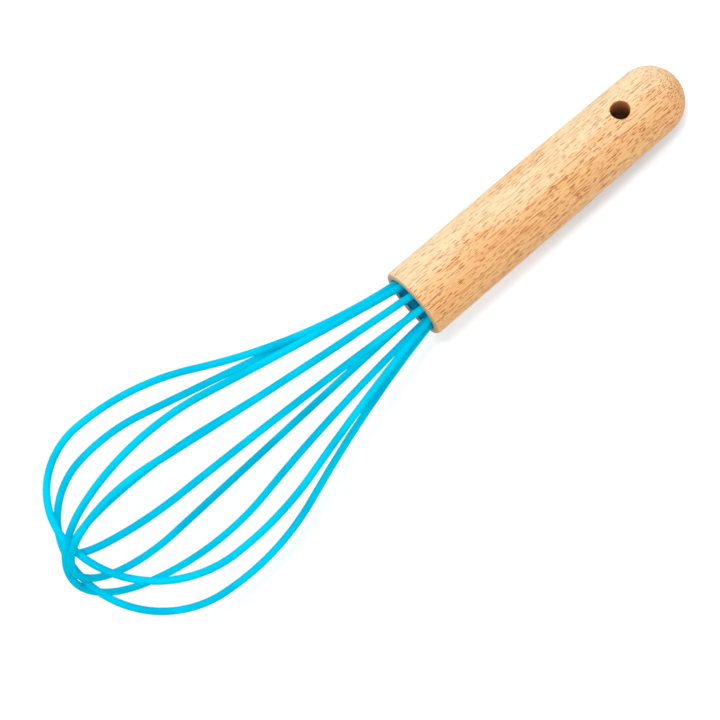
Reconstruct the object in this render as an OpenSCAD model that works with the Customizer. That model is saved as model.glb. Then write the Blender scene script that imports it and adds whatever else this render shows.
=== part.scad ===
// A balloon whisk: a beech handle, five spring steel loops in silicone sleeves, a plug and a potting.
// The whisk is drawn along +X from the centre of the handle's mouth, then laid down as it lies on a table.
// Azimuths turn about the whisk's own axis, from the up side toward +Y.

/* [Handle] */
// length of the wooden handle, from its mouth to the end of the domed butt
handle_len = 115; // [90:1:160]
// diameter of the handle at its mouth
handle_mouth_d = 25; // [22:0.2:32]
// diameter of the handle halfway along
handle_mid_d = 24.8; // [20:0.2:32]
// diameter of the handle where the dome of the butt begins
handle_butt_d = 23.8; // [18:0.2:30]
// rounding of the rim round the mouth
rim_round = 1.3; // [0.4:0.1:1.5]
// diameter of the blind bore that holds the plug and the potting
bore_d = 20.4; // [20:0.2:21]
// depth of the blind bore
bore_depth = 26; // [22:1:40]

/* [Hanging hole] */
// diameter of the hole drilled across the handle
hang_hole_d = 6.4; // [4:0.2:9]
// distance from the end of the butt to the axis of the hole
hang_hole_inset = 24.4; // [12:0.1:30]
// azimuth of the hole's axis, in degrees
hang_hole_turn = -22; // [-90:1:90]
// width of the broken edge at both ends of the hole
hang_hole_break = 0.5; // [0.2:0.1:1]

/* [Balloon] */
// reach of a loop of middle size, from the mouth to its apex
balloon_len = 131.5; // [100:0.5:160]
// width of the balloon across the centres of its strands
balloon_w = 68; // [50:1:80]
// diameter of the circle on which the ten strands enter the plug
ring_d = 17; // [15:0.2:17.2]
// how far the tip of the balloon leans to the -Y side of the handle's axis
lean_side = 7; // [0:0.5:12]
// how far the tip of the balloon sags below the handle's axis
lean_down = 2; // [0:0.5:10]

/* [Strand] */
// outer diameter of the silicone sleeve
strand_d = 2.4; // [1.8:0.1:2.6]
// diameter of the spring steel wire in the sleeve
wire_d = 1.2; // [0.8:0.1:1.5]
// clear space between two loops where they cross
strand_gap = 0.1; // [0.05:0.05:0.6]
// length of the straight leg of a sleeve behind the mouth
leg_len = 14; // [11:0.5:18]
// length of bare wire beyond the end of a sleeve
wire_tail = 4; // [1:0.5:6]

/* [Plug and potting] */
// thickness of the silicone plug
plug_len = 8; // [5:0.5:12]
// how far the face of the plug lies behind the mouth
plug_recess = 0.8; // [0:0.1:2]
// clearance between pieces that fit into each other
fit_gap = 0.05; // [0.02:0.01:0.1]

/* [Hidden] */
// overrun of a cut past the face that it opens
overrun = 1;
// facets of the small holes and of the turned faces
section_fn = 48;
arc_fn = 96;
// sides of a sleeve and of a wire, and how far their chords may stray from the true arcs
sleeve_sides = 14;
wire_sides = 10;
chord_sag = 0.05;
// azimuth of the first hole and the step to the next one
first_hole_turn = -126;
next_hole_turn = 36;
// one strand and its clearance: the unit of the steps between nested loops
pitch = strand_d + strand_gap;

// Each table has one entry for each loop.
// numbers of the holes that its two legs take, counted round the ring from the first one
leg_hole = [[1, 5], [0, 6], [2, 7], [3, 8], [4, 9]];
// reach of the apex beyond balloon_len and its place across the axis, in pitches
nest_share = [-0.06, 1.34, 2.37, 1.55, 0.04];
side_share = [-3.12, 1.03, 1.49, 0.68, -1.35];
rise_share = [3.85, -1.88, -0.82, 2.99, -0.16];
// azimuth of the plane of the loop at its apex
plane_turn = [-109.4, -89.3, -32, -25.9, 11.1];
// half widths of the two sides, as shares of half the balloon's width
width_shares = [[0.78, 1.121], [0.784, 1.047], [1.16, 1.076], [0.787, 0.779], [0.721, 0.981]];
// radius of the belly, as a share of each half width
belly_share = [2.98, 2.42, 1.37, 1.17, 1.34];
// turn of the arc at the apex, in degrees
tip_turn = [88.2, 82.6, 57, 57.4, 49.9];
// splay at the mouth, as shares of the slope of a straight neck
splay_shares = [[0.35, 0.83], [0.97, 0.7], [0.91, 0.65], [0.82, 0.97], [0.1, 0.4]];

wood_colour = [0.93, 0.76, 0.55];
silicone_colour = [0, 0.8, 0.95];
potting_colour = [0.85, 0.82, 0.72];
steel_colour = [0.7, 0.71, 0.73];

// The shape of a loop: two halves meet at the apex. Each half lies in a plane of its own and has
// a tip arc, a belly arc, a neck arc that bends the other way, and a straight leg in the plug.
// A point in that plane is [distance back from the apex, distance to the side].

function across(turn) = [0, sin(turn), cos(turn)];

function sign_of(side) = side == 0 ? 1 : -1;

function apex(k) = [
  balloon_len + nest_share[k] * pitch,
  side_share[k] * pitch - lean_side,
  rise_share[k] * pitch - lean_down
];

function hole(k, side) = ring_d / 2 * across(first_hole_turn + leg_hole[k][side] * next_hole_turn);

// the plane of a half: its origin, its back direction and its side direction
function plane_of(k, side) =
  let (outward = sign_of(side) * across(plane_turn[k]))
  let (to_hole = hole(k, side) - apex(k))
  let (back = to_hole - (to_hole * outward) * outward)
  [apex(k), back / norm(back), outward];

// where the half meets the mouth, in its plane
function mouth_of(k, side) =
  let (plane = plane_of(k, side))
  let (to_hole = hole(k, side) - plane[0])
  [to_hole * plane[1], to_hole * plane[2]];

// slope of a direction in the plane
function slope(way) = atan2(way[0], way[1]);

// the three arcs of a half from its apex to the mouth, each as
// [centre, radius, first angle, last angle, 1 where the centre is inside the loop and -1 outside],
// and then the splay
function half_of(k, side) =
  let (mouth = mouth_of(k, side))
  let (wide = width_shares[k][side] * balloon_w / 2)
  let (turn = tip_turn[k])
  let (belly_r = belly_share[k] * wide)
  let (tip_r = (wide - belly_r * (1 - sin(turn))) / sin(turn))
  let (tip = [tip_r, 0])
  let (belly = tip + (belly_r - tip_r) * [cos(turn), -sin(turn)])
  let (reach = mouth - belly)
  let (splay = splay_shares[k][side] * (slope(reach) - acos(belly_r / norm(reach))))
  let (normal = [sin(splay), cos(splay)])
  let (neck_r = (reach * reach - belly_r * belly_r) / (2 * (belly_r - reach * normal)))
  let (neck = mouth + neck_r * normal)
  let (steep = slope(neck - belly))
  [
    [tip, tip_r, 180, 180 - turn, 1],
    [belly, belly_r, 180 - turn, 90 - steep, 1],
    [neck, neck_r, 270 - steep, 270 - splay, -1],
    splay
  ];

// the splay of a leg, and the steps that an arc needs so that its chords stay within chord_sag
function splay_of(k, side) = half_of(k, side)[3];
function steps_of(arc) = ceil(abs(arc[3] - arc[2]) / (2 * acos(1 - chord_sag / arc[1])));

// how far the plane of the second half is turned against that of the first, about the apex
function twist_of(k, side) =
  let (first = plane_of(k, 0)[1])
  let (second = plane_of(k, 1)[1])
  side == 0 ? 0 : atan2(-second * cross(first, across(plane_turn[k])), second * first);

// one station of the centre line: its place and the two directions that its section lies along
function station(k, side, spot, outward) =
  let (plane = plane_of(k, side))
  let (out = outward[0] * plane[1] + outward[1] * plane[2])
  let (flat = cross(plane[1], across(plane_turn[k])))
  let (twist = twist_of(k, side))
  [
    plane[0] + spot[0] * plane[1] + spot[1] * plane[2],
    cos(twist) * out - sin(twist) * flat,
    sin(twist) * out + cos(twist) * flat
  ];

// the stations on the arcs of a half, from the apex to the mouth
function bent_line(k, side) = [
  for (n = [0:2])
    let (arc = half_of(k, side)[n])
    let (steps = steps_of(arc))
    for (i = [(n == 0 ? 0 : 1):steps])
      let (angle = arc[2] + (arc[3] - arc[2]) * i / steps)
      let (way = [cos(angle), sin(angle)])
      station(k, side, arc[0] + arc[1] * way, arc[4] * way)
];

// the station at the end of the straight leg
function leg_end(k, side, length) =
  let (splay = splay_of(k, side))
  let (way = [cos(splay), -sin(splay)])
  station(k, side, mouth_of(k, side) + length * way, [sin(splay), cos(splay)]);

// all stations of a loop, from the end of one leg round the apex to the end of the other
function loop_line(k, length) =
  let (first = concat(bent_line(k, 0), [leg_end(k, 0, length)]))
  let (second = concat(bent_line(k, 1), [leg_end(k, 1, length)]))
  concat(
    [for (i = [len(first) - 1:-1:0]) first[i]],
    [for (i = [1:len(second) - 1]) second[i]]
  );

// The rest pose: the butt's dome and the two lowest arms lie on one plane, which becomes z = 0.

low_line_a = [for (spot = bent_line(2, 1)) spot[0]];
low_line_b = [for (spot = bent_line(4, 1)) spot[0]];
butt_centre = [handle_butt_d / 2 - handle_len, 0, 0];

function lowest(line, up) = let (heights = line * up) line[search(min(heights), heights)[0]];

// the up direction for which both arms touch the plane under the butt, from a first guess
function rest_up(up, rounds) =
  let (a = lowest(low_line_a, up) - butt_centre)
  let (b = lowest(low_line_b, up) - butt_centre)
  let (drop = (strand_d - handle_butt_d) / 2 * norm(up))
  let (both = a[0] * b[1] - a[1] * b[0])
  let (next = [
    ((drop - a[2]) * b[1] - (drop - b[2]) * a[1]) / both,
    ((drop - b[2]) * a[0] - (drop - a[2]) * b[0]) / both,
    1
  ])
  rounds == 0 ? next / norm(next) : rest_up(next, rounds - 1);

up_way = rest_up([0, 0, 1], 6);
side_way = cross(up_way, [1, 0, 0]) / norm(cross(up_way, [1, 0, 0]));
long_way = cross(side_way, up_way);

all_lines = [for (k = [0:4]) for (side = [0:1]) for (spot = bent_line(k, side)) spot[0]];
long_low = long_way * butt_centre - handle_butt_d / 2;
long_high = max(all_lines * long_way) + strand_d / 2;
side_low = min(all_lines * side_way) - strand_d / 2;
side_high = max(all_lines * side_way) + strand_d / 2;
up_low = up_way * butt_centre - handle_butt_d / 2;

// lays the whisk down with the origin at the middle of its footprint
module laid_down() {
  translate([-(long_low + long_high) / 2, -(side_low + side_high) / 2, -up_low])
    multmatrix([long_way, side_way, up_way])
      children();
}

// Tubes and wires: one closed skin of triangles through the stations of a loop.

function ring_at(spot, d, sides) = [
  for (j = [0:sides - 1])
    let (turn = 360 * j / sides)
    spot[0] + d / 2 * (cos(turn) * spot[1] + sin(turn) * spot[2])
];

// the skin over the rings that start at the corner base, facing out, or in when flipped
function skin(base, rings, sides, flipped) = [
  for (i = [0:rings - 2])
    for (j = [0:sides - 1])
      let (a = base + i * sides + j)
      let (b = base + i * sides + (j + 1) % sides)
      for (face = [[a, b, b + sides], [a, b + sides, a + sides]])
        flipped ? [face[2], face[1], face[0]] : face
];

// the ring-shaped end between the outer and the inner corners
function ring_end(outer, inner, sides, flipped) = [
  for (j = [0:sides - 1])
    let (next = (j + 1) % sides)
    for (face = [[outer + next, outer + j, inner + j], [outer + next, inner + j, inner + next]])
      flipped ? [face[2], face[1], face[0]] : face
];

// the full round end over the corners that start at base
function round_end(base, sides, flipped) = [
  for (j = [1:sides - 2])
    flipped ? [base, base + j, base + j + 1] : [base, base + j + 1, base + j]
];

module tube(line, outer_d, inner_d, sides) {
  rings = len(line);
  corners = rings * sides;
  last = corners - sides;
  polyhedron(
    points = concat(
      [for (spot = line) each ring_at(spot, outer_d, sides)],
      [for (spot = line) each ring_at(spot, inner_d, sides)]
    ),
    faces = concat(
      skin(0, rings, sides, false),
      skin(corners, rings, sides, true),
      ring_end(0, corners, sides, false),
      ring_end(last, corners + last, sides, true)
    ),
    convexity = 6
  );
}

module wire(line, d, sides) {
  rings = len(line);
  polyhedron(
    points = [for (spot = line) each ring_at(spot, d, sides)],
    faces = concat(
      skin(0, rings, sides, false),
      round_end(0, sides, false),
      round_end((rings - 1) * sides, sides, true)
    ),
    convexity = 6
  );
}

module sleeve(k) {
  color(silicone_colour)
    laid_down()
      tube(loop_line(k, leg_len), strand_d, wire_d + 2 * fit_gap, sleeve_sides);
}

module core(k) {
  color(steel_colour)
    laid_down()
      wire(loop_line(k, leg_len + wire_tail), wire_d, wire_sides);
}

// the round room that a leg takes
module leg_room(k, side, d, length) {
  plane = plane_of(k, side);
  mouth = mouth_of(k, side);
  normal = cross(plane[1], plane[2]);
  multmatrix([for (i = [0:2]) [plane[1][i], plane[2][i], normal[i], plane[0][i]]])
    translate([mouth[0], mouth[1], 0])
      rotate([0, 0, -splay_of(k, side)])
        rotate([0, 90, 0])
          cylinder(h = length, d = d, $fn = section_fn);
}

// room for every leg and every bare wire end
module channels() {
  for (k = [0:4])
    for (side = [0:1]) {
      leg_room(k, side, strand_d + 2 * fit_gap, leg_len + fit_gap);
      leg_room(k, side, wire_d + 2 * fit_gap, leg_len + wire_tail + fit_gap);
    }
}

// a solid of revolution piece along the handle's axis, from one place to another
module turned(from, to, from_d, to_d) {
  translate([from, 0, 0])
    rotate([0, 90, 0])
      cylinder(h = to - from, d1 = from_d, d2 = to_d, $fn = arc_fn);
}

// what the rounding takes off the rim
module rim_cut() {
  rotate([0, 90, 0])
    rotate_extrude($fn = arc_fn)
      difference() {
        translate([handle_mouth_d / 2 - rim_round, -rim_round])
          square(rim_round + overrun);
        translate([handle_mouth_d / 2 - rim_round, -rim_round])
          circle(r = rim_round, $fn = section_fn);
      }
}

module hang_hole() {
  reach = (handle_butt_d + handle_mid_d) / 2;
  surface = handle_butt_d / 2;
  translate([hang_hole_inset - handle_len, 0, 0])
    rotate([-hang_hole_turn, 0, 0]) {
      translate([0, 0, -reach - overrun])
        cylinder(h = 2 * (reach + overrun), d = hang_hole_d, $fn = arc_fn);
      for (end = [0:1])
        mirror([0, 0, end])
          translate([0, 0, surface - hang_hole_break])
            cylinder(
              h = 2 * hang_hole_break,
              d1 = hang_hole_d,
              d2 = hang_hole_d + 4 * hang_hole_break,
              $fn = arc_fn
            );
    }
}

module handle() {
  middle = -handle_len / 2;
  color(wood_colour)
    laid_down()
      difference() {
        union() {
          turned(middle, 0, handle_mid_d, handle_mouth_d);
          turned(butt_centre[0], middle, handle_butt_d, handle_mid_d);
          translate(butt_centre)
            rotate([0, 90, 0])
              sphere(d = handle_butt_d, $fn = arc_fn);
        }
        turned(-bore_depth, overrun, bore_d, bore_d);
        rim_cut();
        hang_hole();
      }
}

module mouth_plug() {
  plug_d = bore_d - 2 * fit_gap;
  color(silicone_colour)
    laid_down()
      difference() {
        turned(-plug_recess - plug_len, -plug_recess, plug_d, plug_d);
        channels();
      }
}

module potting() {
  potting_d = bore_d - 2 * fit_gap;
  color(potting_colour)
    laid_down()
      difference() {
        turned(fit_gap - bore_depth, -plug_recess - plug_len - fit_gap, potting_d, potting_d);
        channels();
      }
}

module silicone_sleeve_1() { sleeve(0); }
module silicone_sleeve_2() { sleeve(1); }
module silicone_sleeve_3() { sleeve(2); }
module silicone_sleeve_4() { sleeve(3); }
module silicone_sleeve_5() { sleeve(4); }
module wire_core_1() { core(0); }
module wire_core_2() { core(1); }
module wire_core_3() { core(2); }
module wire_core_4() { core(3); }
module wire_core_5() { core(4); }

handle();
mouth_plug();
potting();
silicone_sleeve_1();
silicone_sleeve_2();
silicone_sleeve_3();
silicone_sleeve_4();
silicone_sleeve_5();
wire_core_1();
wire_core_2();
wire_core_3();
wire_core_4();
wire_core_5();
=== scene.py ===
import math
import bmesh
import bpy
from mathutils import Matrix, Vector


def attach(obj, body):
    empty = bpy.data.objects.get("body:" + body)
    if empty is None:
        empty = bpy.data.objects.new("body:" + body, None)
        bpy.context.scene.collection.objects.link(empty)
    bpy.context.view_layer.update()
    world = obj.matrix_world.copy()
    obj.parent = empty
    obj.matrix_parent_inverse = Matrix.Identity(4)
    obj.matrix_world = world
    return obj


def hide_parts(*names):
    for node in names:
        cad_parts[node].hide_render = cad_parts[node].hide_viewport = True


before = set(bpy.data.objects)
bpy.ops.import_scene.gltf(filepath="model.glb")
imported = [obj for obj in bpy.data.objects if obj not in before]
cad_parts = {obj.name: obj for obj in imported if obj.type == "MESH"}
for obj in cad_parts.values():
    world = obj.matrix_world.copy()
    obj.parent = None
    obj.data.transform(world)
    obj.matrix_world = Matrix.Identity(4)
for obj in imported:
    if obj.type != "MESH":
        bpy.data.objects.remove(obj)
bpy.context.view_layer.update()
print("frame loaded:", len(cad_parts), "solids")

mm = 0.001
white = (1, 1, 1, 1)
bpy.context.scene.view_settings.view_transform = "Standard"

# How the whisk lies: the middle of its mouth in millimetres, and where its own long, side
# and up directions point
restPlace = {
    "mouth": (-12.0156, 4.2688, 24.555),
    "long": (0.992438, 0.0, 0.122745),
    "side": (0.00901145, 0.997301, -0.0728606),
    "up": (-0.122414, 0.0734158, 0.98976),
}
restMouth = Vector(restPlace["mouth"]) * mm
restTurn = Matrix([restPlace[way] for way in ("long", "side", "up")]).transposed()
restMatrix = Matrix.Translation(restMouth) @ restTurn.to_4x4() @ Matrix.Scale(mm, 4)


# A colour as it reads on a screen, 0 to 255, taken through the usual screen curve
def plainColour(*values):
    colour = []
    for part in (value / 255 for value in values):
        colour.append(part / 12.92 if part <= 0.04045 else ((part + 0.055) / 1.055) ** 2.4)
    return (*colour, 1)


# A node tree in the making, with short ways to add and join its nodes
class NodeBench:
    def __init__(self, tree):
        self.nodes, self.links = tree.nodes, tree.links

    def give(self, socket, value):
        if isinstance(value, bpy.types.NodeSocket):
            self.links.new(value, socket)
        else:
            socket.default_value = value

    def add(self, kind, joins=None, **settings):
        node = self.nodes.new(kind)
        for name, value in settings.items():
            setattr(node, name, value)
        for socket, value in (joins or {}).items():
            self.give(node.inputs[socket], value)
        return node

    def calc(self, operation, *values):
        joins = dict(enumerate(values))
        return self.add("ShaderNodeMath", joins, operation=operation).outputs[0]

    def vector(self, operation, *values):
        node = self.add("ShaderNodeVectorMath", dict(enumerate(values)), operation=operation)
        return node.outputs["Value" if operation in ("LENGTH", "DOT_PRODUCT") else "Vector"]

    def axes(self, place):
        return tuple(self.add("ShaderNodeSeparateXYZ", {"Vector": place}).outputs)

    def objectPlace(self):
        return self.add("ShaderNodeTexCoord").outputs["Object"]

    # a soft step from first to last, while the value goes from low to high
    def ramp(self, value, low, high, first=0.0, last=1.0):
        joins = dict(enumerate((value, low, high, first, last)))
        return self.add("ShaderNodeMapRange", joins, interpolation_type="SMOOTHSTEP").outputs[0]

    def blend(self, share, first, second):
        joins = {0: share, 6: first, 7: second}
        return self.add("ShaderNodeMix", joins, data_type="RGBA").outputs[2]

    def noise(self, place, scale, detail=2.0, roughness=0.5):
        joins = {"Vector": place, "Scale": scale, "Detail": detail, "Roughness": roughness}
        return self.add("ShaderNodeTexNoise", joins).outputs["Fac"]

    def stretched(self, place, stretch, shift=(0, 0, 0)):
        joins = {"Vector": place, "Scale": stretch, "Location": shift}
        return self.add("ShaderNodeMapping", joins).outputs[0]

    def bump(self, height, depth, strength):
        joins = {"Height": height, "Distance": depth, "Strength": strength}
        return self.add("ShaderNodeBump", joins).outputs[0]

    def mixLight(self, share, first, second):
        return self.add("ShaderNodeMixShader", {0: share, 1: first, 2: second}).outputs[0]


# A material in the making
class Finish(NodeBench):
    def __init__(self, name):
        self.material = bpy.data.materials.new(name)
        self.material.use_nodes = True
        super().__init__(self.material.node_tree)
        self.shader = self.nodes["Principled BSDF"]

    def dress(self, sockets):
        for name, value in sockets.items():
            self.give(self.shader.inputs[name], value)

    # places turned into the whisk's own: X along its axis, zero at the mouth, in metres
    def onWhisk(self):
        turn = restTurn.transposed()
        return self.add("ShaderNodeMapping", {
            "Vector": self.objectPlace(),
            "Rotation": turn.to_euler("XYZ"),
            "Location": -(turn @ restMouth),
        }).outputs[0]


cameraSetup = {
    "place": (0.03244, 0.03151, 0.7399),
    "turn": (2.573, 0.069, 139.062),  # degrees
    "lens": 112.45,
    "sensor": 36.0,
    "clip": (0.01, 20),
}

lampSetup = {
    "keyLamp": {"place": (0.02, -0.13, 0.9), "size": 0.16, "power": 1.9},
    "sideLamp": {"place": (0.05, -0.75, 0.5), "size": 0.9, "power": 1.3},
}

roomSetup = {
    "colour": (1.0, 0.99, 0.98, 1),
    "level": 0.77,
}


def makeCamera(setup):
    data = bpy.data.cameras.new("studioCamera")
    data.sensor_width, data.lens = setup["sensor"], setup["lens"]
    data.clip_start, data.clip_end = setup["clip"]
    camera = bpy.data.objects.new("studioCamera", data)
    camera.location = setup["place"]
    camera.rotation_euler = [math.radians(turn) for turn in setup["turn"]]
    bpy.context.scene.collection.objects.link(camera)
    bpy.context.scene.camera = camera


# A round lamp that looks at the middle of the whisk
def makeLamp(name, place, size, power):
    data = bpy.data.lights.new(name, "AREA")
    data.shape, data.size, data.energy = "DISK", size, power
    lamp = bpy.data.objects.new(name, data)
    lamp.location = place
    lamp.rotation_euler = (-Vector(place)).to_track_quat("-Z", "Y").to_euler()
    bpy.context.scene.collection.objects.link(lamp)


# 1 for what is seen straight, in a reflection or through clear glass, and 0 for the light
# that reaches the object
def seenDirectly(bench):
    path = bench.add("ShaderNodeLightPath")
    either = bench.calc("MAXIMUM", path.outputs["Is Camera Ray"], path.outputs["Is Glossy Ray"])
    return bench.calc("MAXIMUM", either, path.outputs["Is Transmission Ray"])


def makeRoom(setup):
    world = bpy.data.worlds.new("whiteRoom")
    world.use_nodes = True
    world.node_tree.nodes.clear()
    bpy.context.scene.world = world
    bench = NodeBench(world.node_tree)
    room = bench.add("ShaderNodeBackground", {"Color": setup["colour"], "Strength": setup["level"]})
    backdrop = bench.add("ShaderNodeBackground", {"Color": white, "Strength": 1})
    mixed = bench.mixLight(seenDirectly(bench), room.outputs[0], backdrop.outputs[0])
    bench.add("ShaderNodeOutputWorld", {0: mixed})


floorSetup = {
    "halfWidth": 3.0,
    "paper": (0.68, 0.68, 0.69, 1),  # what lights the object from below
    "seenPaper": (1.22, 1.22, 1.22, 1),  # what the camera sees where the paper lies open
    "nearPaper": (0.98, 0.98, 0.98, 1),  # the same where the whisk all but touches it
    "shadowReach": 0.015,
    "shadowRange": (0.45, 0.75),
    "shadowLean": (0, -0.6, 0.8),
    "shadowSamples": 12,
    "handleGlow": (0.03, 0.095, 0.14, 1),  # takes the wood's warm bounce out of the grey beside it
    "glowFade": (-0.03, 0.01, 1.0, 0.0),  # which fades out along X, toward the balloon
    "litEdge": (0.0199, 0.33, -1.6),  # up to this curve over X the paper shows no shadow
    "litBlur": (-0.003, 0.0025, 0.0, 0.9),
    "litStart": (-0.040, -0.008),  # fades in along X, past the handle's own shadow
    "openPaper": (0.17, 0.26),  # plain white from here on outward
}


# Paper with the whisk's shadow, and soft grey close to the whisk on the side away from the lamps
def shadedPaper(paper, place, setup):
    lean = paper.add("ShaderNodeCombineXYZ", dict(enumerate(setup["shadowLean"])))
    joins = {"Distance": setup["shadowReach"], "Normal": lean.outputs[0]}
    closed = paper.add("ShaderNodeAmbientOcclusion", joins, samples=setup["shadowSamples"])
    openness = paper.ramp(closed.outputs["AO"], *setup["shadowRange"])
    colour = paper.blend(openness, setup["nearPaper"], setup["seenPaper"])
    plain = paper.add("ShaderNodeBsdfDiffuse", {"Color": colour})
    strength = paper.ramp(paper.axes(place)[0], *setup["glowFade"])
    glow = paper.add("ShaderNodeEmission", {"Color": setup["handleGlow"], "Strength": strength})
    return paper.add("ShaderNodeAddShader", {0: plain.outputs[0], 1: glow.outputs[0]}).outputs[0]


# How far the paper shows no shadow, 0 to 1: under the balloon, as in the picture, and far out
def litPaper(paper, place, setup):
    x, y, z = paper.axes(place)
    start, rise, bend = setup["litEdge"]
    edge = paper.calc("MULTIPLY_ADD", paper.calc("MULTIPLY_ADD", x, bend, rise), x, start)
    lit = paper.ramp(paper.calc("SUBTRACT", edge, y), *setup["litBlur"])
    lit = paper.calc("MULTIPLY", lit, paper.ramp(x, *setup["litStart"]))
    farOut = paper.ramp(paper.vector("LENGTH", place), *setup["openPaper"])
    return paper.calc("MAXIMUM", lit, farOut)


def paperFinish(setup):
    material = bpy.data.materials.new("whitePaper")
    material.use_nodes = True
    material.node_tree.nodes.clear()
    paper = NodeBench(material.node_tree)
    place = paper.objectPlace()
    lit = paper.add("ShaderNodeEmission", {"Color": white})
    seen = paper.mixLight(
        litPaper(paper, place, setup), shadedPaper(paper, place, setup), lit.outputs[0])
    lighting = paper.add("ShaderNodeBsdfDiffuse", {"Color": setup["paper"]})
    mixed = paper.mixLight(seenDirectly(paper), lighting.outputs[0], seen)
    paper.add("ShaderNodeOutputMaterial", {0: mixed})
    return material


def makeFloor(setup):
    half = setup["halfWidth"]
    corners = [(-half, -half, 0), (half, -half, 0), (half, half, 0), (-half, half, 0)]
    mesh = bpy.data.meshes.new("floor")
    mesh.from_pydata(corners, [], [(0, 1, 2, 3)])
    mesh.materials.append(paperFinish(setup))
    floor = bpy.data.objects.new("floor", mesh)
    bpy.context.scene.collection.objects.link(floor)


makeCamera(cameraSetup)
for name, lamp in lampSetup.items():
    makeLamp(name, **lamp)
makeRoom(roomSetup)
makeFloor(floorSetup)
print("camera, lamps and floor placed")


beechLook = {
    "cream": plainColour(254, 226, 182),
    "warm": plainColour(251, 196, 133),
    "rosy": plainColour(246, 184, 122),
    "dash": plainColour(180, 94, 24),
    "endGrain": plainColour(196, 162, 122),
    "holeWall": plainColour(188, 112, 48),
    "paintedHoleShade": plainColour(96, 28, 6),
    # patterns in the wood: how tight they are along and across the handle, shift, detail, roughness
    "layers": ((26, 150), (0, 0, 0), 4, 0.6),
    "fibres": ((45, 2000), (0, 0, 0), 5, 0.65),
    "veins": ((22, 700), (3, 1, 7), 3, 0.6),
    "patches": ((18, 60), (5, 5, 5), 2, 0.5),
    # the warm side of the handle, away from the lamps, partly the beech's own tone and partly
    # painted shade: where it starts, where it weakens across it again as painted light against the
    # lamps' shade, and its share of the tone
    "sideStart": (-0.0095, 0.0075),
    "paintedLightFade": (0.0065, 0.0155, 1.0, 0.62),
    "sideShare": 0.5,
    "layerShare": 1.15,
    "veinShare": 0.35,
    "warmRange": (0.66, 1.22),
    "rosyRange": (0.45, 0.7),
    "rosyShare": 0.7,
    "threadRange": (0.47, 0.70, 0.0, 0.34),
    "threadSides": (0.85, 1.4),  # paler and darker side
    # layers of dashes: length and width of a cell and of its dash, darkness, shift
    "dashes": (
        ((0.0034, 0.00078), (0.0033, 0.00050), 1.0, (0, 0, 0)),
        ((0.0024, 0.00066), (0.0020, 0.00042), 0.95, (0.53, 0.37, 0.21)),
        ((0.0095, 0.00066), (0.0092, 0.00042), 0.9, (0.2, 0.7, 0.9)),
    ),
    "dashScatter": 0.9,
    "dashSizes": (0.52, 1.04),  # smallest and largest, as a share of the full dash
    "dashCore": 0.72,  # share of a dash that is fully dark
    "palestDash": 0.6,
    "dashRange": (0.7, 1.15, 0.58, 1.0),  # fewer where the wood is pale
    "wander": 0.0009,
    "wanderStretch": (40, 120),
    "endGrainStart": (-0.0007, -0.0001, 0.0, 0.85),
    "holeShadeSpread": (0.003, 0.0110),
    "holeEdge": (0.00322, 0.0035, 0.9, 0.0),
    "shine": 0.3,
    "roughness": (0.3, 0.7, 0.52, 0.64),
    "fibreHeight": 0.5,
    "bump": (0.00007, 0.3),
}


# A place stretched along the handle by one number and across it by another
def alongHandle(wood, place, stretch, shift=(0, 0, 0)):
    along, wide = stretch
    return wood.stretched(place, (along, wide, wide), shift)


def woodPattern(wood, place, pattern):
    stretch, shift, detail, roughness = pattern
    return wood.noise(alongHandle(wood, place, stretch, shift), 1.0, detail, roughness)


# The tone runs from cream on the lit side of the handle to warm on the shaded side, with wavy
# edges: partly the beech's own tone and partly painted shade
def woodTone(wood, place, look):
    sideways = wood.axes(place)[1]
    warmAndShadedSide = wood.calc(
        "MULTIPLY", wood.ramp(sideways, *look["sideStart"]), wood.ramp(sideways, *look["paintedLightFade"]))
    tone = wood.calc("MULTIPLY", warmAndShadedSide, look["sideShare"])
    layers = woodPattern(wood, place, look["layers"])
    tone = wood.calc("MULTIPLY_ADD", layers, look["layerShare"], tone)
    veins = woodPattern(wood, place, look["veins"])
    return wood.calc("MULTIPLY_ADD", veins, look["veinShare"], tone), warmAndShadedSide


# Short dashes: long cells along the handle hold one dash each, and the surface cuts through
# some of them
def woodDashes(wood, place, look):
    drift = wood.add("ShaderNodeTexNoise", {
        "Vector": alongHandle(wood, place, look["wanderStretch"]), "Scale": 1.0, "Detail": 2.0,
    }).outputs["Color"]
    bent = wood.vector("MULTIPLY_ADD", drift, (0, look["wander"], look["wander"]), place)
    dashes = 0.0
    for (cellLong, cellWide), (dashLong, dashWide), dark, shift in look["dashes"]:
        spread = alongHandle(wood, bent, (1 / cellLong, 1 / cellWide), shift)
        joins = {"Vector": spread, "Scale": 1.0, "Randomness": look["dashScatter"]}
        cells = wood.add("ShaderNodeTexVoronoi", joins)
        off = wood.vector("SUBTRACT", spread, cells.outputs["Position"])
        long, wide = 2 * cellLong / dashLong, 2 * cellWide / dashWide
        away = wood.vector("LENGTH", wood.vector("MULTIPLY", off, (long, wide, wide)))
        draw = wood.add("ShaderNodeSeparateColor", {"Color": cells.outputs["Color"]})
        reach = wood.ramp(draw.outputs[0], 0.0, 1.0, *look["dashSizes"])
        core = wood.calc("MULTIPLY", reach, look["dashCore"])
        depth = wood.ramp(draw.outputs[1], 0.0, 1.0, look["palestDash"] * dark, dark)
        dash = wood.calc("MULTIPLY", wood.ramp(away, core, reach, 1.0, 0.0), depth)
        dashes = wood.calc("MAXIMUM", dashes, dash)
    return dashes


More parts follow.
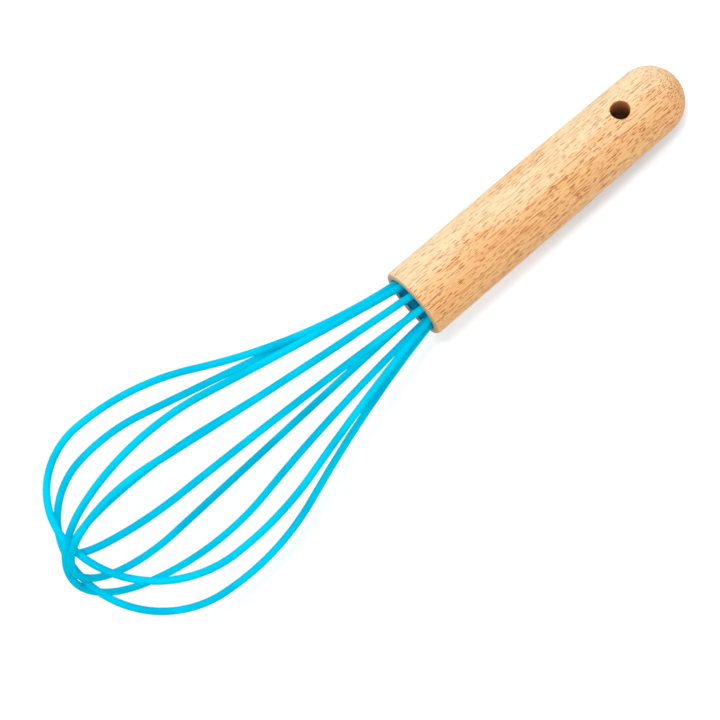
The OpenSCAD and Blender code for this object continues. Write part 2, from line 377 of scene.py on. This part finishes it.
# The wall of the hanging hole, with painted shade darkest in the middle of the handle
def withShadedHoleWall(wood, place, colour, look, holeAxis, holePlace):
    fromHole = wood.vector("SUBTRACT", place, holePlace)
    fromAxis = wood.vector("LENGTH", wood.vector("CROSS_PRODUCT", fromHole, holeAxis))
    fromMiddle = wood.calc("ABSOLUTE", wood.vector("DOT_PRODUCT", fromHole, holeAxis))
    # painted shade: the wall darkens toward the middle of the handle
    depth = wood.ramp(fromMiddle, *look["holeShadeSpread"])
    wall = wood.blend(depth, look["paintedHoleShade"], look["holeWall"])
    return wood.blend(wood.ramp(fromAxis, *look["holeEdge"]), colour, wall)


def beechFinish(look, holeAxis, holePlace):
    wood = Finish("beech")
    place = wood.onWhisk()
    tone, warmAndShadedSide = woodTone(wood, place, look)
    colour = wood.blend(wood.ramp(tone, *look["warmRange"]), look["cream"], look["warm"])
    # rosy patches only on the warm side, partly the beech's own tone and partly painted shade
    patches = wood.ramp(woodPattern(wood, place, look["patches"]), *look["rosyRange"])
    rosy = wood.calc("MULTIPLY", patches, wood.calc("MULTIPLY", warmAndShadedSide, look["rosyShare"]))
    colour = wood.blend(rosy, colour, look["rosy"])
    fibres = woodPattern(wood, place, look["fibres"])
    threads = wood.ramp(fibres, *look["threadRange"])
    threads = wood.calc("MULTIPLY", threads, wood.ramp(warmAndShadedSide, 0.0, 1.0, *look["threadSides"]))
    colour = wood.blend(threads, colour, look["dash"])
    dashes = woodDashes(wood, place, look)
    darkening = wood.calc("MULTIPLY", dashes, wood.ramp(tone, *look["dashRange"]))
    colour = wood.blend(darkening, colour, look["dash"])
    # cross-cut wood round the mouth
    endGrain = wood.ramp(wood.axes(place)[0], *look["endGrainStart"])
    colour = wood.blend(endGrain, colour, look["endGrain"])
    height = wood.calc("SUBTRACT", wood.calc("MULTIPLY", fibres, look["fibreHeight"]), dashes)
    wood.dress({
        "Base Color": withShadedHoleWall(wood, place, colour, look, holeAxis, holePlace),
        "Specular IOR Level": look["shine"],
        "Roughness": wood.ramp(fibres, *look["roughness"]),
        "Normal": wood.bump(height, *look["bump"]),
    })
    return wood.material


# Patterns here and below are: how tight, detail, roughness. A shine would show the white room as
# thin pale lines between arms that cross, so the pale streaks along the arms are a painted sheen
siliconeLook = {
    "bright": plainColour(0, 214, 246),
    "deep": plainColour(0, 198, 235),
    "sheenStreak": plainColour(10, 228, 252),
    "clouds": (60, 2),
    "cloudMix": (0.35, 0.65),
    "streaks": (2.2, 3, 0.55),
    "streakPitch": 14.0,
    "sheenStreakMix": (0.58, 0.74, 0.0, 0.30),
    "grain": (2600, 2),
    "shine": 0.0,
    "roughness": (0.3, 0.7, 0.34, 0.46),
    "bump": (0.00002, 0.35),
}


def siliconeFinish(look):
    silicone = Finish("blueSilicone")
    place = silicone.objectPlace()
    around = silicone.add("ShaderNodeAttribute", attribute_name="around").outputs["Vector"]
    along = silicone.add("ShaderNodeAttribute", attribute_name="along").outputs["Fac"]
    x, y, z = silicone.axes(around)
    walked = silicone.calc("MULTIPLY", along, look["streakPitch"])
    wrapped = silicone.add("ShaderNodeCombineXYZ", {0: x, 1: y, 2: walked}).outputs[0]
    streaks = silicone.noise(wrapped, *look["streaks"])
    clouds = silicone.ramp(silicone.noise(place, *look["clouds"]), *look["cloudMix"])
    colour = silicone.blend(clouds, look["bright"], look["deep"])
    # pale streaks along each arm: a painted sheen
    colour = silicone.blend(silicone.ramp(streaks, *look["sheenStreakMix"]), colour, look["sheenStreak"])
    silicone.dress({
        "Base Color": colour,
        "Specular IOR Level": look["shine"],
        "Roughness": silicone.ramp(streaks, *look["roughness"]),
        "Normal": silicone.bump(silicone.noise(place, *look["grain"]), *look["bump"]),
    })
    return silicone.material


plugLook = {
    "colours": (plainColour(0, 112, 144), plainColour(0, 138, 170)),
    "clouds": (320, 3),
    "cloudMix": (0.35, 0.75),
    "grain": (1500, 3),
    "shine": 0.0,
    "roughness": (0.3, 0.7, 0.42, 0.58),
    "bump": (0.00004, 0.6),
}

pottingLook = {
    "colours": (plainColour(226, 216, 186), plainColour(196, 184, 150)),
    "clouds": (180, 4),
    "cloudMix": (0.35, 0.65),
    "grain": (900, 3),
    "shine": 0.45,
    "roughness": (0.3, 0.7, 0.35, 0.6),
    "bump": (0.0001, 0.5),
}


# A cast surface, clouded and slightly grainy
def castFinish(name, look):
    cast = Finish(name)
    place = cast.onWhisk()
    clouds = cast.noise(place, *look["clouds"])
    cast.dress({
        "Base Color": cast.blend(cast.ramp(clouds, *look["cloudMix"]), *look["colours"]),
        "Specular IOR Level": look["shine"],
        "Roughness": cast.ramp(clouds, *look["roughness"]),
        "Normal": cast.bump(cast.noise(place, *look["grain"]), *look["bump"]),
    })
    return cast.material


steelLook = {
    "colours": (plainColour(188, 190, 194), plainColour(150, 152, 158)),
    "drawn": (1800, 4, 0.6),
    "drawnMix": (0.3, 0.7),
    "roughness": (0.3, 0.7, 0.24, 0.42),
    "bump": (0.00002, 0.5),
}


def steelFinish(look):
    steel = Finish("springSteel")
    drawn = steel.noise(steel.objectPlace(), *look["drawn"])
    steel.dress({
        "Base Color": steel.blend(steel.ramp(drawn, *look["drawnMix"]), *look["colours"]),
        "Metallic": 1.0,
        "Roughness": steel.ramp(drawn, *look["roughness"]),
        "Normal": steel.bump(drawn, *look["bump"]),
    })
    return steel.material


def newPiece(name, mesh, node):
    piece = bpy.data.objects.new(name, mesh)
    bpy.context.scene.collection.objects.link(piece)
    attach(piece, "root")
    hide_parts(node)
    return piece


def allRound(count):
    return [2 * math.pi * i / count for i in range(count)]


def onRing(radius, count):
    return [(radius * math.sin(turn), radius * math.cos(turn)) for turn in allRound(count)]


# Joins each ring of corners to the next with faces; a ring of one corner closes the shape
def joinRings(bm, rings):
    turns = max(len(ring) for ring in rings)
    for first, second in zip(rings, rings[1:]):
        for i in range(turns):
            j = i + 1
            corners = [
                first[i % len(first)], first[j % len(first)],
                second[j % len(second)], second[i % len(second)],
            ]
            bm.faces.new(list(dict.fromkeys(corners)))


def asMesh(bm, name):
    bmesh.ops.recalc_face_normals(bm, faces=bm.faces)
    mesh = bpy.data.meshes.new(name)
    bm.to_mesh(mesh)
    bm.free()
    return mesh


# The plain mesh that an object's modifiers give; the object itself is removed
def madeMesh(item):
    bpy.context.view_layer.update()
    seen = item.evaluated_get(bpy.context.evaluated_depsgraph_get())
    mesh = bpy.data.meshes.new_from_object(seen)
    bpy.data.objects.remove(item)
    return mesh


# In millimetres: corners closer than this along a cut are joined, and shorter edges dropped
cutTidy = {
    "joinWithin": 0.02,
    "dropUnder": 0.01,
}


# The mesh with the closed cutter mesh taken out of it
def cutBy(mesh, cutter):
    body = bpy.data.objects.new("beingCut", mesh)
    tool = bpy.data.objects.new("cutter", cutter)
    for item in (body, tool):
        bpy.context.scene.collection.objects.link(item)
    cut = body.modifiers.new("cut", "BOOLEAN")
    cut.operation, cut.solver, cut.object = "DIFFERENCE", "EXACT", tool
    made = madeMesh(body)
    bpy.data.objects.remove(tool)
    bm = bmesh.new()
    bm.from_mesh(made)
    bmesh.ops.remove_doubles(bm, verts=bm.verts, dist=cutTidy["joinWithin"])
    bmesh.ops.dissolve_degenerate(bm, edges=bm.edges, dist=cutTidy["dropUnder"])
    bmesh.ops.triangulate(bm, faces=bm.faces, quad_method="BEAUTY", ngon_method="BEAUTY")
    bm.to_mesh(made)
    print("edges left open by the cut:", sum(not edge.is_manifold for edge in bm.edges))
    bm.free()
    return made


# Takes a mesh made along the whisk's axis to where the whisk lies, and gives it its finish
def laidDown(mesh, name, material, sharpFrom=50):
    mesh.name = name
    mesh.transform(restMatrix)
    mesh.shade_smooth()
    mesh.set_sharp_from_angle(angle=math.radians(sharpFrom))
    mesh.materials.clear()
    mesh.materials.append(material)
    return mesh


# The turned handle, in millimetres and degrees, with the mouth at zero
handleSize = {
    "length": 115.0,
    "mouthRadius": 12.5,
    "middleRadius": 12.4,
    "buttRadius": 11.9,
    "rimRound": 1.3,
    "boreRadius": 10.2,
    "boreDepth": 26.0,
    "boreEdge": 0.12,
    "holeRadius": 3.2,
    "holeInset": 24.4,
    "holeTurn": -22.0,
    "holeEdge": 0.5,
    "cutterFlare": ((0.05, -0.2), (0.4, -2.0)),  # past the surface: wider by, depth
    "turns": 256,
    "sideSteps": 40,
    "domeStep": 3,
    "rimStep": 9,
    "holeTurns": 96,
    "holeEdgeStep": 15,
}


# Radius of the long sides of the handle at a place along its axis
def handleRadius(along, size):
    middle = -size["length"] / 2
    if along > middle:
        share = (along - middle) / -middle
        return size["middleRadius"] + (size["mouthRadius"] - size["middleRadius"]) * share
    domeStart = size["buttRadius"] - size["length"]
    share = (along - domeStart) / (middle - domeStart)
    return size["buttRadius"] + (size["middleRadius"] - size["buttRadius"]) * share


# The handle's outline as places along the axis and radii, from the butt over the sides and the
# rim into the bore
def handleProfile(size):
    butt, rim, bore = size["buttRadius"], size["rimRound"], size["boreRadius"]
    domeStart, rimStart = butt - size["length"], -rim
    profile = []
    for degrees in range(0, 90, size["domeStep"]):
        turn = math.radians(degrees)
        profile.append((domeStart - butt * math.cos(turn), butt * math.sin(turn)))
    for i in range(size["sideSteps"] + 1):
        along = domeStart + (rimStart - domeStart) * i / size["sideSteps"]
        profile.append((along, handleRadius(along, size)))
    rimCentre = size["mouthRadius"] - rim
    for degrees in range(size["rimStep"], 91, size["rimStep"]):
        turn = math.radians(degrees)
        profile.append((rimStart + rim * math.sin(turn), rimCentre + rim * math.cos(turn)))
    edge, depth = size["boreEdge"], size["boreDepth"]
    return profile + [(0, bore + edge), (-edge, bore), (-depth, bore), (-depth, 0)]


def turnedHandle(size):
    bm = bmesh.new()
    rings = []
    for along, radius in handleProfile(size):
        if radius == 0:
            rings.append([bm.verts.new((along, 0, 0))])
            continue
        ring = onRing(radius, size["turns"])
        rings.append([bm.verts.new((along, y, z)) for y, z in ring])
    joinRings(bm, rings)
    return asMesh(bm, "turnedHandle")


# A round pin whose ends flare along the handle's own surface, so that the broken edge is even
# all round; past the surface it goes on opening, clear of the wood
def holeCutter(size):
    bm = bmesh.new()
    radius, edge = size["holeRadius"], size["holeEdge"]
    inset = size["holeInset"] - size["length"]
    half = []
    for degrees in range(0, 91, size["holeEdgeStep"]):
        turn = math.radians(degrees)
        half.append((radius + edge * (1 - math.cos(turn)), edge * (1 - math.sin(turn))))
    half += [(radius + edge + wider, depth) for wider, depth in size["cutterFlare"]]
    rings = []
    for end, steps in ((-1, reversed(half)), (1, half)):
        for wide, depth in steps:
            ring = []
            for turn in allRound(size["holeTurns"]):
                along, sideways = inset + wide * math.cos(turn), wide * math.sin(turn)
                surface = math.sqrt(handleRadius(along, size) ** 2 - sideways ** 2)
                ring.append(bm.verts.new((along, sideways, end * (surface - depth))))
            rings.append(ring)
    joinRings(bm, rings)
    bm.faces.new(rings[0])
    bm.faces.new(rings[-1])
    turned = Matrix.Rotation(math.radians(-size["holeTurn"]), 3, "X")
    bmesh.ops.rotate(bm, cent=(0, 0, 0), matrix=turned, verts=bm.verts)
    return asMesh(bm, "holeCutter")


def makeHandle(size):
    holeTurn = math.radians(size["holeTurn"])
    holeAxis = Vector((0, math.sin(holeTurn), math.cos(holeTurn)))
    holePlace = Vector(((size["holeInset"] - size["length"]) * mm, 0, 0))
    mesh = cutBy(turnedHandle(size), holeCutter(size))
    mesh = laidDown(mesh, "woodenHandle", beechFinish(beechLook, holeAxis, holePlace))
    return newPiece("woodenHandle", mesh, "handle")


handle = makeHandle(handleSize)
print("handle turned and drilled:", len(handle.data.polygons), "faces")


# The balloon of five loops, in millimetres and degrees
balloonSize = {
    "reach": 131.5,
    "width": 68.0,
    "ringRadius": 8.5,
    "leanSide": 7.0,
    "leanDown": 2.0,
    "strandWidth": 2.4,
    "wireWidth": 1.2,
    "strandGap": 0.1,
    "fitGap": 0.05,
    "skinGap": 0.01,
    "legLength": 14.0,
    "firstHoleTurn": -126.0,
    "nextHoleTurn": 36.0,
    "sides": 32,
    "arcStep": 1.6,
    "fewestSteps": 6,
}

# One entry for each loop: the numbers of the two holes it comes from, its apex in pitches of a
# strand (on, across, up), the turn of its plane, the half widths of its two sides, its belly's
# radius, the turn of its tip, and its legs' splay
loopShapes = [
    {
        "holes": (1, 5), "apex": (-0.06, -3.12, 3.85), "plane": -109.4,
        "widths": (0.78, 1.121), "belly": 2.98, "turn": 88.2, "splays": (0.35, 0.83),
    },
    {
        "holes": (0, 6), "apex": (1.34, 1.03, -1.88), "plane": -89.3,
        "widths": (0.784, 1.047), "belly": 2.42, "turn": 82.6, "splays": (0.97, 0.7),
    },
    {
        "holes": (2, 7), "apex": (2.37, 1.49, -0.82), "plane": -32,
        "widths": (1.16, 1.076), "belly": 1.37, "turn": 57, "splays": (0.91, 0.65),
    },
    {
        "holes": (3, 8), "apex": (1.55, 0.68, 2.99), "plane": -25.9,
        "widths": (0.787, 0.779), "belly": 1.17, "turn": 57.4, "splays": (0.82, 0.97),
    },
    {
        "holes": (4, 9), "apex": (0.04, -1.35, -0.16), "plane": 11.1,
        "widths": (0.721, 0.981), "belly": 1.34, "turn": 49.9, "splays": (0.1, 0.4),
    },
]


# Directions from angles in degrees, and the angle of a flat direction
def across(turn):
    return Vector((0, math.sin(math.radians(turn)), math.cos(math.radians(turn))))


def onCircle(turn):
    return Vector((math.cos(math.radians(turn)), math.sin(math.radians(turn))))


def steepness(way):
    return math.degrees(math.atan2(way[0], way[1]))


# Where a loop's plane lies in the balloon: its apex, the way back to the mouth, the way outward
# on this side, and the mouth of its hole on that plane
def loopPlane(shape, side, size):
    pitch = size["strandWidth"] + size["strandGap"]
    tip = Vector((size["reach"], -size["leanSide"], -size["leanDown"]))
    apex = tip + pitch * Vector(shape["apex"])
    holeTurn = size["firstHoleTurn"] + shape["holes"][side] * size["nextHoleTurn"]
    toHole = size["ringRadius"] * across(holeTurn) - apex
    outward = (1, -1)[side] * across(shape["plane"])
    back = (toHole - toHole.dot(outward) * outward).normalized()
    return apex, back, outward, Vector((toHole.dot(back), toHole.dot(outward)))


# One arm, from the apex of its loop over three arcs to the mouth and down its straight leg:
# its points, where it enters the plug, and which way its leg runs
def halfLoop(shape, side, size):
    apex, back, outward, mouth = loopPlane(shape, side, size)
    wide = shape["widths"][side] * size["width"] / 2
    turn = shape["turn"]
    lean = onCircle(turn)
    bellyRadius = shape["belly"] * wide
    tipRadius = (wide - bellyRadius * (1 - lean.y)) / lean.y
    tip = Vector((tipRadius, 0))
    belly = tip + (bellyRadius - tipRadius) * Vector((lean.x, -lean.y))
    reach = mouth - belly
    touching = steepness(reach) - math.degrees(math.acos(bellyRadius / reach.length))
    splay = shape["splays"][side] * touching
    normal = Vector((math.sin(math.radians(splay)), math.cos(math.radians(splay))))
    neckRadius = (reach.length_squared - bellyRadius ** 2) / (2 * (bellyRadius - reach.dot(normal)))
    neck = mouth + neckRadius * normal
    steep = steepness(neck - belly)
    arcs = [
        (tip, tipRadius, 180, 180 - turn),
        (belly, bellyRadius, 180 - turn, 90 - steep),
        (neck, neckRadius, 270 - steep, 270 - splay),
    ]
    flat = []
    for centre, radius, first, last in arcs:
        steps = max(size["fewestSteps"], math.ceil(abs(last - first) / size["arcStep"]))
        turns = [first + (last - first) * i / steps for i in range(steps + 1)]
        arc = [centre + radius * onCircle(turn) for turn in turns]
        flat += arc[1:] if flat else arc
    leg = Vector((normal.y, -normal.x))
    steps = size["fewestSteps"]
    flat += [mouth + leg * size["legLength"] * i / steps for i in range(1, steps + 1)]
    points = [apex + spot.x * back + spot.y * outward for spot in flat]
    entry = apex + mouth.x * back + mouth.y * outward
    return points, entry, (leg.x * back + leg.y * outward).normalized()


def loopLine(shape, size):
    first, second = (halfLoop(shape, side, size)[0] for side in (0, 1))
    return list(reversed(first)) + second[1:]


# Geometry Nodes: sweeps a round sleeve along a centre line and keeps two patterns for its material
def sweptTree():
    tree = bpy.data.node_groups.new("sweptSleeve", "GeometryNodeTree")
    inputs = {
        "Centre Line": "NodeSocketGeometry", "Sleeve Radius": "NodeSocketFloat",
        "Sides": "NodeSocketInt", "Finish": "NodeSocketMaterial",
    }
    for name, kind in inputs.items():
        tree.interface.new_socket(name, in_out="INPUT", socket_type=kind)
    tree.interface.new_socket("Sleeve", in_out="OUTPUT", socket_type="NodeSocketGeometry")
    bench = NodeBench(tree)
    given = bench.add("NodeGroupInput").outputs
    curve = bench.add("GeometryNodeMeshToCurve", {"Mesh": given["Centre Line"]})
    # distance along the strand, in metres
    walked = bench.add("GeometryNodeSplineParameter").outputs["Length"]
    line = bench.add("GeometryNodeStoreNamedAttribute", {
        "Geometry": curve.outputs[0], "Name": "along", "Value": walked,
    }, data_type="FLOAT", domain="POINT")
    # direction round the strand, as a point on a circle of radius 1
    ring = bench.add("GeometryNodeCurvePrimitiveCircle", {
        "Resolution": given["Sides"], "Radius": given["Sleeve Radius"],
    })
    unit = bench.vector("NORMALIZE", bench.add("GeometryNodeInputPosition").outputs[0])
    rim = bench.add("GeometryNodeStoreNamedAttribute", {
        "Geometry": ring.outputs["Curve"], "Name": "around", "Value": unit,
    }, data_type="FLOAT_VECTOR", domain="POINT")
    swept = bench.add("GeometryNodeCurveToMesh", {
        "Curve": line.outputs[0], "Profile Curve": rim.outputs[0],
    })
    smooth = bench.add("GeometryNodeSetShadeSmooth", {"Geometry": swept.outputs[0]})
    real = bench.add("GeometryNodeRealizeInstances", {"Geometry": smooth.outputs[0]})
    finished = bench.add("GeometryNodeSetMaterial", {
        "Geometry": real.outputs[0], "Material": given["Finish"],
    })
    bench.add("NodeGroupOutput", {"Sleeve": finished.outputs[0]})
    return tree


def giveInput(modifier, name, value):
    for item in modifier.node_group.interface.items_tree:
        if item.item_type == "SOCKET" and item.in_out == "INPUT" and item.name == name:
            modifier[item.identifier] = value


def makeSleeve(number, tree, finish, size):
    points = [restMatrix @ spot for spot in loopLine(loopShapes[number - 1], size)]
    line = bpy.data.meshes.new("centreLine")
    line.from_pydata(points, [(i, i + 1) for i in range(len(points) - 1)], [])
    maker = bpy.data.objects.new("sleeveMaker", line)
    bpy.context.scene.collection.objects.link(maker)
    sweep = maker.modifiers.new("sweep", "NODES")
    sweep.node_group = tree
    giveInput(sweep, "Sleeve Radius", (size["strandWidth"] / 2 - size["skinGap"]) * mm)
    giveInput(sweep, "Sides", size["sides"])
    giveInput(sweep, "Finish", finish)
    wall = maker.modifiers.new("wall", "SOLIDIFY")
    wall.thickness = ((size["strandWidth"] - size["wireWidth"]) / 2 - size["fitGap"]) * mm
    wall.offset = -1
    mesh = madeMesh(maker)
    mesh.name = "siliconeSleeve" + str(number)
    return newPiece(mesh.name, mesh, "silicone_sleeve_" + str(number))


silicone = siliconeFinish(siliconeLook)
sleeveTree = sweptTree()
for number in range(1, len(loopShapes) + 1):
    sleeve = makeSleeve(number, sleeveTree, silicone, balloonSize)
    print(sleeve.name, "swept:", len(sleeve.data.polygons), "faces")


# The plug in the mouth, in millimetres: its face sags a little, and the silicone climbs in a
# small lip at each of the ten arms and at the wood
plugSize = {
    "length": 8.0,
    "recess": 0.8,
    "radius": 10.15,
    "sag": 0.12,
    "lipHeight": 0.32,
    "lipWidth": 0.30,
    "wallLipHeight": 0.22,
    "wallLipWidth": 0.35,
    "turns": 160,
    "rings": 56,
    "holeTurns": 40,
}


def plugFace(y, z, legs, strandRadius, size):
    radius = math.hypot(y, z)
    height = -size["recess"] - size["sag"] * (1 - (radius / size["radius"]) ** 2)
    height += size["wallLipHeight"] * math.exp((radius - size["radius"]) / size["wallLipWidth"])
    near = min(math.hypot(y - entry.y, z - entry.z) for entry, way in legs) - strandRadius
    return height + size["lipHeight"] * math.exp(-max(near, 0) / size["lipWidth"])


def castPlug(legs, strandRadius, size):
    bm = bmesh.new()
    rings = [[bm.verts.new((plugFace(0, 0, legs, strandRadius, size), 0, 0))]]
    for i in range(1, size["rings"] + 1):
        ring = onRing(size["radius"] * i / size["rings"], size["turns"])
        rings.append([
            bm.verts.new((plugFace(y, z, legs, strandRadius, size), y, z)) for y, z in ring
        ])
    base = -size["recess"] - size["length"]
    rings.append([bm.verts.new((base, corner.co.y, corner.co.z)) for corner in rings[-1]])
    rings.append([bm.verts.new((base, 0, 0))])
    joinRings(bm, rings)
    return asMesh(bm, "castPlug")


# Straight pins along the ten legs
def legCutters(legs, pinRadius, size):
    bm = bmesh.new()
    for entry, way in legs:
        turn = Vector((0, 0, 1)).rotation_difference(way).to_matrix().to_4x4()
        middle = Matrix.Translation(entry + way * size["length"] / 2)
        bmesh.ops.create_cone(
            bm, cap_ends=True, segments=size["holeTurns"], radius1=pinRadius, radius2=pinRadius,
            depth=size["length"] * 2, matrix=middle @ turn)
    return asMesh(bm, "legCutters")


def makePlug(size, balloon):
    legs = [halfLoop(shape, side, balloon)[1:] for shape in loopShapes for side in (0, 1)]
    strandRadius = balloon["strandWidth"] / 2
    cutters = legCutters(legs, strandRadius + balloon["fitGap"], size)
    mesh = cutBy(castPlug(legs, strandRadius, size), cutters)
    mesh = laidDown(mesh, "mouthPlug", castFinish("plugSilicone", plugLook))
    return newPiece("mouthPlug", mesh, "mouth_plug")


plug = makePlug(plugSize, balloonSize)
print("plug cast:", len(plug.data.polygons), "faces")


# The hidden solids keep their own shape and get their finish
def dressSolid(node, material):
    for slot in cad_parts[node].material_slots:
        slot.material = material


dressSolid("potting", castFinish("pottingResin", pottingLook))
steel = steelFinish(steelLook)
for number in range(1, len(loopShapes) + 1):
    dressSolid("wire_core_" + str(number), steel)
print("potting and wires finished")
